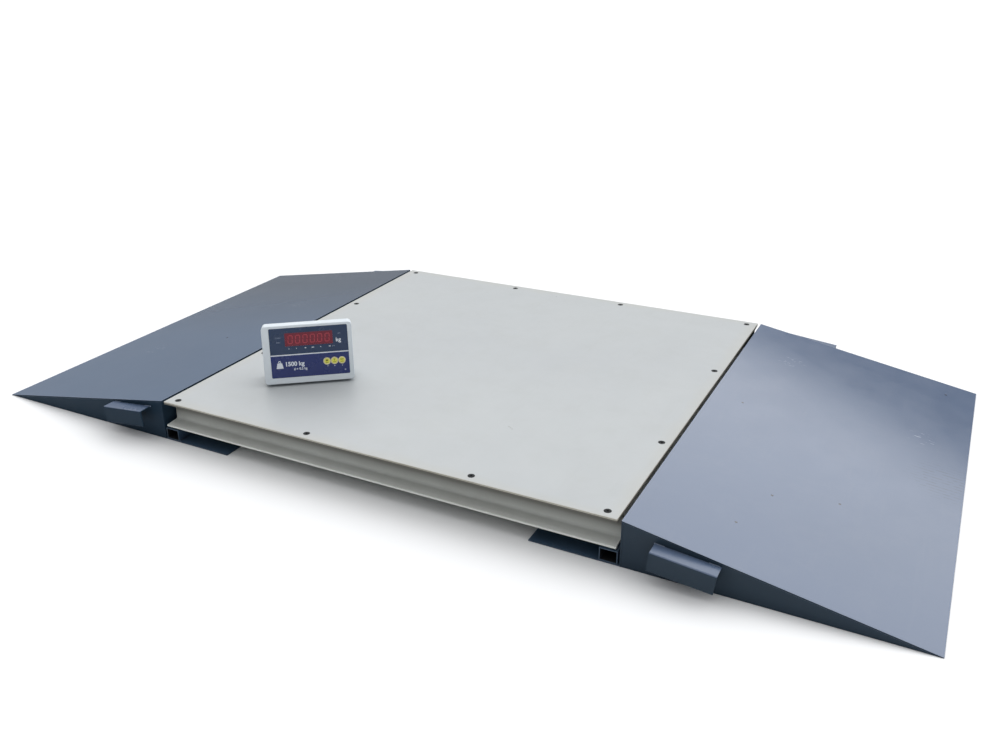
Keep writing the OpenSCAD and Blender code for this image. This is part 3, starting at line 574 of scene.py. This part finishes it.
# %% Below the deck
for corner in ("fl", "fr", "bl", "br"):
    refine("load_cell_" + corner, cell_steel, 0.6 * MM)
    refine("foot_pad_" + corner, pad_steel, 0.4 * MM, least_length=0.003, rings=1)
    paint_node("foot_stud_" + corner, threaded)
refine("foot_lock_nuts", zinc, 0.4 * MM, least_length=0.006, rings=1)
refine("cell_bolts", zinc, 0.3 * MM, least_length=0.001, rings=1)
refine("junction_screws", zinc, 0.3 * MM, least_length=0.0004, rings=1)
refine("junction_box", box_grey, 1.5 * MM)
refine("junction_lid", box_grey, 0.8 * MM)
refine("cable_glands", black_nylon, 0.4 * MM, least_length=0.003, rings=1)
refine("cable_outlet", black_nylon, 0.4 * MM, least_length=0.003, rings=1)
paint_node("beam_grommets", black_rubber)
paint_node("cell_cables", cable_jacket)
paint_node("junction_board", green_board)

beam_low, beam_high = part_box("cross_beams")
BEAM_PITCH = 0.3
seams = []
for end_x in (-beam_high.x, beam_high.x):
    for beam_y in (-BEAM_PITCH, 0.0, BEAM_PITCH):
        seams.append(((end_x, beam_y, beam_low.z), (end_x, beam_y, beam_high.z - 2 * MM)))
weld("beam_welds", seams, "platform", deck_paint, 2 * MM)
print("below the deck:", len(seams), "beam seams")

# %% [markdown]
# ## Ramps
#
# A ramp is a welded box of 4 mm sheet. One loop makes both ramps. The top sheet's rim is rubbed by
# wheels and shoes and gets a lighter paint, which is partly painted highlight. The side faces are
# dull and darker, as painted shade, and the square tube has painted shade inside. Short beads hold
# the tube to the tongue, and each handle to the ramp's side.

# %% Where a ramp's beads lie
TUBE_BEADS, TUBE_BEAD_PITCH, TUBE_BEAD_HALF = 7, 0.195, 0.014   # count, then metres
HANDLE_HALF, HANDLE_BEAD_IN, HANDLE_BEAD_HALF = 0.066, 0.012, 0.011
SIDE_WALL_Y = 0.6
RAMP_SLOPE = math.tan(math.radians(6))


def tube_beads(low, high, sign):
    """Short beads along the foot of the tube's inner wall."""
    wall_x = low.x if sign > 0 else high.x
    middles = [(k - (TUBE_BEADS - 1) / 2) * TUBE_BEAD_PITCH for k in range(TUBE_BEADS)]
    return [((wall_x, y - TUBE_BEAD_HALF, low.z), (wall_x, y + TUBE_BEAD_HALF, low.z)) for y in middles]


def handle_beads(low, high, across, sign):
    """Two beads along the root of a handle, which slopes as the ramp does."""
    beads = []
    for away in (HANDLE_BEAD_IN - HANDLE_HALF, HANDLE_HALF - HANDLE_BEAD_IN):
        middle_x = (low.x + high.x) / 2 + away
        top = high.z - (HANDLE_HALF + away * sign) * RAMP_SLOPE - 0.6 * MM
        fall = HANDLE_BEAD_HALF * RAMP_SLOPE * sign
        beads.append(((middle_x - HANDLE_BEAD_HALF, across * SIDE_WALL_Y, top + fall),
                      (middle_x + HANDLE_BEAD_HALF, across * SIDE_WALL_Y, top - fall)))
    return beads


# %% Both ramps
for side, sheet in (("left", left_sheet_paint), ("right", right_sheet_paint)):
    start = "ramp_" + side + "_"
    sign = 1 if side == "right" else -1
    # the darker side copy is painted shade on the ramp's upright faces
    painted_shade_side = side_painted_shade if side == "right" else left_side_painted_shade
    refine(start + "sheet", sheet, 0.5 * MM, ramp_edge, rules=[(upright, painted_shade_side)])
    for part in ("sides", "end", "ribs"):
        refine(start + part, painted_shade_side, 0.4 * MM)
    refine(start + "tongue", tongue_paint, 0.4 * MM, side_painted_shade)
    tube_low, tube_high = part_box(start + "tube")

    def inside_tube(middle, normal, low=tube_low, high=tube_high):
        return (low.x + 1 * MM < middle.x < high.x - 1 * MM
                and low.z + 1 * MM < middle.z < high.z - 1 * MM and abs(normal.y) < 0.5)

    # painted shade inside the square tube
    refine(start + "tube", tongue_paint, 0.5 * MM, side_painted_shade, 0.01, rules=[(inside_tube, painted_shade_inside)])
    weld(start + "tube_welds", tube_beads(tube_low, tube_high, sign), side + "_ramp",
         weld_steel)
    beads = []
    for end, across in (("front", -1), ("back", 1)):
        handle = start + "handle_" + end
        refine(handle, ramp_paint, 0.4 * MM, ramp_edge, 0.06, rules=[(upright, painted_shade_side)])
        beads += handle_beads(*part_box(handle), across, sign)
    # the handle beads take the lighter edge paint, partly painted highlight
    weld(start + "handle_welds", beads, side + "_ramp", ramp_edge, 1.8 * MM)
    print(side, "ramp:", TUBE_BEADS, "tube beads,", len(beads), "handle beads")

# %% [markdown]
# ## Indicator
#
# The indicator leans on the deck, so its small parts are easier to place in its own frame: x runs
# across the face, y into it and z up it. The frame comes from the joints: the power rocker turns
# about the face's x, and the keys are pressed along its y. The panel sheet gives the origin.

# %% The face's frame
joints = {j["name"]: j for j in frame["joints"]}
face_x = Vector(joints["power_rocker_tilt"]["axis"]).normalized()
face_y = Vector(joints["key_middle_press"]["axis"]).normalized()
face_z = face_x.cross(face_y)
face_turn = Matrix((face_x, face_y, face_z)).transposed()
face_back = face_turn.transposed()


def face_box(node):
    """Lowest and highest corner of a CAD node, along the face's own axes."""
    points = [face_back @ v.co for v in nodes[node].data.vertices]
    low = Vector([min(p[i] for p in points) for i in range(3)])
    high = Vector([max(p[i] for p in points) for i in range(3)])
    return low, high


panel_low, panel_high = face_box("indicator_panel")
home = Vector(((panel_low.x + panel_high.x) / 2, panel_low.y, (panel_low.z + panel_high.z) / 2))
FACE = face_turn.to_4x4() @ Matrix.Translation(home)
INTO_FACE = FACE.inverted()
panel_w, panel_h = panel_high.x - panel_low.x, panel_high.z - panel_low.z
print("panel:", round(panel_w / MM), "x", round(panel_h / MM), "mm")


def on_panel(node):
    """Middle of a CAD node across and up the panel, with the depth of its front."""
    low, high = face_box(node)
    middle = (low + high) / 2
    return Vector((middle.x, low.y, middle.z)) - home


# %% [markdown]
# The shells are mouldings, so their outer rim is broadly round and the inner edges are crisp. The
# two tests below pick the edges of the front's outer outline, and the rear wall's edges in its upper
# part and on the rocker's side. REAR_OUT points straight out of that wall.


# %% Shells
REAR_OUT = Vector((-face_x.y, face_x.x, 0)).normalized()
rear_reach = max(v.co.dot(REAR_OUT) for v in nodes["indicator_back"].data.vertices)


def outer_rim(edge):
    for v in edge.verts:
        p = INTO_FACE @ v.co
        outside = abs(p.x) > panel_w / 2 + 4 * MM or abs(p.z + 2 * MM) > panel_h / 2 + 6 * MM
        if abs(p.y + 0.2 * MM) > 0.1 * MM or not outside:
            return False
    return True


def rear_rim(edge):
    """Edges of the rear wall's upper part, and those on the rocker's side of it."""
    for v in edge.verts:
        upper = v.co.z > deck_high.z + 60 * MM
        rocker_side = v.co.dot(face_x) < home.x - 62.6 * MM
        if abs(v.co.dot(REAR_OUT) - rear_reach) > 0.1 * MM or not (upper or rocker_side):
            return False
    return True


refine("indicator_front", housing_plastic, 0.5 * MM, least_length=0.015, wide=(outer_rim, 1.8 * MM))
refine("indicator_back", housing_plastic, 0.6 * MM, least_length=0.02, wide=(rear_rim, 2 * MM))
refine("indicator_feet", black_rubber, 0.5 * MM, least_length=0.0006, rings=1)
refine("indicator_sockets", black_nylon, 0.25 * MM, least_length=0.0009, rings=1)
refine("power_rocker", rocker_red, 0.4 * MM, least_length=0.006, rings=2)
refine("indicator_battery", battery_case, 0.8 * MM)
paint_node("indicator_screws", zinc)
paint_node("indicator_board", green_board)
print("housing shells, feet, sockets, rocker, battery and board have their finishes")


# %% Panel sheet
LINE_Z = -5.6 * MM


def panel_finish():
    """Glossy membrane sheet: greyer above the dividing line, deeper blue below it."""
    f = Finish("panel_sheet", linear(34, 48, 106), 0.24)
    turn = face_back.to_euler()
    height = f.split(f.moved((1, 1, 1), turn, -home))[2]
    f.tint(f.remap(height, LINE_Z - 0.6 * MM, LINE_Z + 0.6 * MM), linear(44, 62, 90))
    f.tint(f.remap(f.noise(30, 4), 0.4, 0.8, 0, 0.25), linear(62, 74, 112))
    f.dull(f.noise(40, 4), 0.18, 0.3)
    f.relief(f.noise(1400, 2), 0.00002, 0.5)
    return f.material


refine("indicator_panel", panel_finish(), 0.15 * MM, least_length=0.02, rings=1)

# %% [markdown]
# ## Display
#
# The digits are red lamps behind a dark red filter. Lit, they make the whole filter glow, so the
# filter has a weak glow of its own with slow noise in it, and the segments are a little brighter.
# A segment is a flat hexagon: a bar with pointed ends. Six digits share one mesh.

# %% Filter
window_finish = Finish("window_filter", linear(66, 26, 34), 0.16)
cloudy = window_finish.remap(window_finish.noise(120, 3), 0.4, 0.7, 0, 0.4)
window_finish.tint(cloudy, linear(92, 22, 32))
window_finish.glow(linear(92, 34, 46), 0.7)
window_finish.relief(window_finish.noise(60, 2), 0.00003, 0.3)
window_finish.dull(window_finish.noise(90, 3), 0.12, 0.24)
refine("indicator_window", window_finish.material, 0.2 * MM, least_length=0.02, rings=1)
digit_lamp = Finish("digit_lamp", linear(124, 46, 56), 0.3)
digit_lamp.glow(linear(128, 40, 50), 0.6)
digit_lamp.tint(digit_lamp.noise(300, 2), linear(120, 30, 40))
paint_node("indicator_digits", digit_lamp.material)


# %% Flat marks on the panel
LETTER_HALF = 0.02 * MM   # half of the thickness of printed letters
MARK_THICK = 0.04 * MM


def flat_shape(bm, points, depth):
    """A thin plate with the outline points (x, z), its back at that depth in the face's frame."""
    back = bm.faces.new([bm.verts.new((x, depth, z)) for x, z in points])
    extrude_cap(bm, back, (0, -MARK_THICK, 0))


def bar(bm, x, z, w, h, depth=0.0):
    flat_shape(bm, [(x - w / 2, z - h / 2), (x + w / 2, z - h / 2), (x + w / 2, z + h / 2),
                    (x - w / 2, z + h / 2)], depth)


def ring(bm, x, z, inner, outer, depth=0.0, count=40):
    for k in range(count):
        a, b = 2 * math.pi * k / count, 2 * math.pi * (k + 1) / count
        flat_shape(bm, [(x + r * math.cos(t), z + r * math.sin(t))
                        for r, t in ((inner, a), (outer, a), (outer, b), (inner, b))], depth)


def write(bm, words, size, x, z, align="CENTER", heavy=0.0, depth=0.0):
    """Letters as a thin mesh: font curves are meshed first, then laid on the face."""
    curve = bpy.data.curves.new("letters", "FONT")
    curve.body = words
    curve.size = size
    curve.align_x = align
    curve.align_y = "CENTER"
    curve.extrude = LETTER_HALF
    curve.offset = heavy
    curve.resolution_u = 4
    holder = bpy.data.objects.new("letters", curve)
    mesh = bpy.data.meshes.new_from_object(holder)
    upright_turn = Matrix.Rotation(math.radians(90), 4, "X")
    mesh.transform(Matrix.Translation((x, depth - LETTER_HALF, z)) @ upright_turn)
    bm.from_mesh(mesh)
    bpy.data.objects.remove(holder)
    bpy.data.curves.remove(curve)
    bpy.data.meshes.remove(mesh)


def marks(name, bm, finish, body):
    """Makes a piece of what was drawn in the face's frame."""
    bmesh.ops.transform(bm, matrix=FACE, verts=bm.verts)
    make_piece(name, bm, [finish], body)


# %% Seven-segment digits
window = on_panel("indicator_window")
# the six lit segments of a nought: across and up from its middle, and whether it stands
SEGMENTS = ((0, 1, False), (0.5, 0.5, True), (0.5, -0.5, True),
            (0, -1, False), (-0.5, -0.5, True), (-0.5, 0.5, True))
DIGITS, digit_pitch = 6, 18.8 * MM
digit_w, digit_h, stroke = 10.5 * MM, 10.2 * MM, 2.3 * MM
slant, segment_gap = 0.9 * MM, 0.7 * MM


def nought(bm, x, z, depth):
    for across, up, stands in SEGMENTS:
        middle_x = x + across * digit_w + up * slant
        middle_z = z + up * digit_h
        half = (digit_h if stands else digit_w) / 2 - segment_gap / 2
        short, low = half - stroke / 2, stroke / 2
        outline = [(-half, 0), (-short, -low), (short, -low), (half, 0), (short, low), (-short, low)]
        if stands:
            outline = [(-b, a) for a, b in outline]
        flat_shape(bm, [(middle_x + a, middle_z + b) for a, b in outline], depth)


bm = bmesh.new()
for k in range(DIGITS):
    nought(bm, window.x + (k - (DIGITS - 1) / 2) * digit_pitch, window.z, window.y)
point_x = window.x + digit_pitch   # between the fourth and the fifth digit
bar(bm, point_x, window.z - digit_h, 2.2 * MM, 2.2 * MM, window.y)
marks("lit_digits", bm, digit_lamp.material, "indicator")

# %% [markdown]
# ## Printed marks
#
# The panel is one printed sheet. It shows a dividing line, the unit, a row of small status marks
# under the window, a plain weight symbol with the scale's capacity, and a pale ring round each
# key with an arrow below it. Words and marks of any maker are left out.

# %% Panel print
bm = bmesh.new()
bar(bm, 0, LINE_Z, panel_w - 0.6 * MM, 2.8 * MM)
write(bm, "kg", 14.5 * MM, window.x + 75 * MM, window.z - 8.5 * MM, heavy=0.4 * MM)
keys = [on_panel("key_" + name) for name in ("left", "middle", "right")]
status_z = window.z - 23.5 * MM
for at, width in ((-52, 1.6), (-33, 1.6), (-10, 4), (9, 6), (29, 2), (52, 4.5)):
    bar(bm, window.x + at * MM, status_z, width * MM, 1.9 * MM)
arrow_right = [(0.6, -1.4), (3.2, 0), (0.6, 1.4)]
arrow_up = [(-1.6, -1.2), (1.6, -1.2), (0, 1.5)]
for key, arrow in zip(keys, (arrow_right, arrow_up, arrow_up)):
    flat_shape(bm, [(key.x + a * MM, key.z + (b - 13.2) * MM) for a, b in arrow], 0)
symbol_x, symbol_z = -78 * MM, -31 * MM
trapezium = ((-9, -9), (9, -9), (6, 5), (-6, 5))
flat_shape(bm, [(symbol_x + a * MM, symbol_z + b * MM) for a, b in trapezium], 0)
ring(bm, symbol_x, symbol_z + 7.5 * MM, 1.8 * MM, 3.6 * MM, count=20)
write(bm, "1500 kg", 15.5 * MM, -65 * MM, -30 * MM, "LEFT", 0.5 * MM)
write(bm, "d = 0.5 kg", 8.5 * MM, -9 * MM, -43.5 * MM, "RIGHT", 0.25 * MM)
write(bm, "III", 4 * MM, 90 * MM, -54 * MM, "RIGHT", 0.1 * MM)
marks("panel_print", bm, white_print, "indicator")

bm = bmesh.new()
for key in keys:
    ring(bm, key.x, key.z, 8.6 * MM, 9.6 * MM)
marks("key_rings", bm, key_rim, "indicator")

# %% Small lettering beside the window
bm = bmesh.new()
for across, up, words in ((-78, 6, "STABLE"), (-78, -6, "ZERO"), (78, 8, "NET"), (62, -24, "BAT")):
    write(bm, words, 4.2 * MM, window.x + across * MM, window.z + up * MM)
marks("status_words", bm, grey_print, "indicator")

# %% [markdown]
# ## Keys
#
# Each key is a soft yellow cap that moves, so its rim and its legend belong to the key's own
# body and travel with it. The legends are a weight, a T for tare, and a zero between arrows.

# %% Key caps and legends
for name, at in zip(("left", "middle", "right"), keys):
    node = "key_" + name
    refine(node, key_yellow, 0.6 * MM, least_length=0.0004, rings=3)
    bm = bmesh.new()
    ring(bm, at.x, at.z, 6.9 * MM, 7.6 * MM, at.y, 40)
    marks(node + "_rim", bm, key_rim, node + "_cap")
    bm = bmesh.new()
    if name == "left":
        weight = ((-3, 0), (3, 0), (2, 4), (-2, 4))
        flat_shape(bm, [(at.x + a * MM, at.z + b * MM) for a, b in weight], at.y)
    elif name == "middle":
        write(bm, "T", 7 * MM, at.x, at.z + 2 * MM, heavy=0.2 * MM, depth=at.y)
    else:
        write(bm, ">0<", 6 * MM, at.x, at.z + 2 * MM, heavy=0.15 * MM, depth=at.y)
    bar(bm, at.x, at.z - 3.2 * MM, 7 * MM, 1.3 * MM, at.y)
    marks(node + "_legend", bm, dark_print, node + "_cap")
print("panel marks and", len(keys), "keys done")

# %% [markdown]
# ## Back of the indicator
#
# The back carries a round socket with pins, a charger jack with its centre pin, and a foil label.
# Its wall is upright, so a second frame stands on it: x across, y out of the back, z straight up.
# The two sockets' places come from the record's mounts. The label's lines aren't real words.

# %% Pins and label
mounts = {m["name"]: m for m in frame["record"]["mounts"]}
rear_turn = Matrix((-face_x, REAR_OUT, Vector((0, 0, 1)))).transposed().to_4x4()


def pin(bm, place, radius, length):
    """A round pin that stands along the rear frame's y, with a domed end."""
    lying = Matrix.Rotation(math.radians(-90), 4, "X")
    disc = bmesh.ops.create_circle(bm, cap_ends=True, segments=16, radius=radius,
                                   matrix=Matrix.Translation(place) @ lying)
    cap = disc["verts"][0].link_faces[0]
    for move, size in ((length * 0.85, 1.0), (length * 0.1, 0.75), (length * 0.05, 0.4)):
        cap, verts = extrude_cap(bm, cap, (0, move, 0))
        middle = cap.calc_center_median()
        bmesh.ops.scale(bm, verts=verts, vec=(size, 1, size), space=Matrix.Translation(-middle))


bm = bmesh.new()
cell_depth = mounts["cell_socket"]["dims"]["length_mm"] * MM / 2
# socket, its depth, its pins, how far they stand from its middle, their radius and their length
for name, depth, pins, away, radius, length in (
        ("cell_socket", cell_depth, 5, 3.4 * MM, 0.6 * MM, 5 * MM),
        ("charger_socket", 5 * MM, 1, 0, 1.0 * MM, 8 * MM)):
    mouth = rear_turn.inverted() @ Vector(mounts[name]["pos_m"])
    for k in range(pins):
        a = 2 * math.pi * (k + 0.5) / pins
        spot = (mouth.x + away * math.cos(a), mouth.y - depth, mouth.z + away * math.sin(a))
        pin(bm, spot, radius, length)
bmesh.ops.transform(bm, matrix=rear_turn, verts=bm.verts)
make_piece("socket_pins", bm, [zinc], "indicator")

wall = rear_turn.inverted() @ Vector(mounts["cell_socket"]["pos_m"])
label_x, label_z = wall.x + 62 * MM, deck_high.z + 100 * MM
bm = bmesh.new()
label = bmesh.ops.create_cube(bm, size=1)["verts"]
bmesh.ops.scale(bm, verts=label, vec=(70 * MM, 0.2 * MM, 32 * MM))
bmesh.ops.translate(bm, verts=label, vec=(label_x, rear_reach + 0.1 * MM, label_z))
bmesh.ops.transform(bm, matrix=rear_turn, verts=bm.verts)
bevel(bm, [e for e in bm.edges if e.calc_length() < 0.3 * MM], 2 * MM, 4)
make_piece("back_label", bm, [label_silver], "indicator")
bm = bmesh.new()
text_w, text_z = 58, 10
for k, width in enumerate((58, 44, 58, 30)):
    line = bmesh.ops.create_cube(bm, size=1)["verts"]
    bmesh.ops.scale(bm, verts=line, vec=(width * MM, 0.06 * MM, 1.6 * MM))
    line_x, line_z = label_x + (text_w - width) / 2 * MM, label_z + (text_z - 6.5 * k) * MM
    bmesh.ops.translate(bm, verts=line, vec=(line_x, rear_reach + 0.22 * MM, line_z))
bmesh.ops.transform(bm, matrix=rear_turn, verts=bm.verts)
make_piece("label_lines", bm, [black_nylon], "indicator")
print("back: pins, a foil label and its lines")

# %% [markdown]
# ## Floor, light and surroundings
#
# The scale stands on a pale floor in a white studio. The light is a big bright dome behind and
# above the scale, dim near the horizon and in front. The right ramp leans towards the dome's
# bright part and mirrors it, all but a band along its back edge, where it mirrors the dim part;
# the left ramp is seen so flat that it mirrors only the dim part.

# %% Floor
bm = bmesh.new()
bmesh.ops.create_grid(bm, x_segments=1, y_segments=1, size=90)
floor_mesh = bpy.data.meshes.new("floor")
bm.to_mesh(floor_mesh)
bm.free()
floor = bpy.data.objects.new("floor", floor_mesh)
floor.location.z = -0.5 * MM
scene.collection.objects.link(floor)
floor_finish = Finish("floor_finish", (0.88, 0.885, 0.89), 0.9, specular=0.0)
floor_finish.tint(floor_finish.remap(floor_finish.noise(0.4, 3), 0.4, 0.7, 0, 0.5), (0.87, 0.875, 0.88))
floor_mesh.materials.append(floor_finish.material)

# %% Dome
BRIGHT, DIM, ZENITH, FRONT = 2.35, 0.24, 1.0, 0.3   # strengths of the dome's parts
EDGE = [math.sin(math.radians(a)) for a in (23.0, 25.4)]   # where the bright part begins
world = bpy.data.worlds.new("dome")
scene.world = world
world.use_nodes = True
dome = world.node_tree
place = dome.nodes.new("ShaderNodeTexCoord")
parts = dome.nodes.new("ShaderNodeSeparateXYZ")
dome.links.new(place.outputs["Generated"], parts.inputs["Vector"])
back, up = parts.outputs["Y"], parts.outputs["Z"]
high_up = range_node(dome, up, *EDGE, 0, 1, "SMOOTHSTEP")
behind = range_node(dome, back, -0.35, 0.35, FRONT, BRIGHT, "SMOOTHSTEP")
overhead = range_node(dome, up, 0.75, 0.97, 0, 1, "SMOOTHSTEP")
around = math_node(dome, "MULTIPLY", (behind, math_node(dome, "SUBTRACT", (1, overhead))))
sky = math_node(dome, "ADD", (around, math_node(dome, "MULTIPLY", (overhead, ZENITH))))
light = math_node(dome, "ADD", (DIM, math_node(dome, "MULTIPLY", (high_up, sky))))
dome.links.new(light, dome.nodes["Background"].inputs["Strength"])
dome.nodes["Background"].inputs["Color"].default_value = (0.985, 0.99, 1.0, 1)
scene.view_settings.view_transform = "Standard"
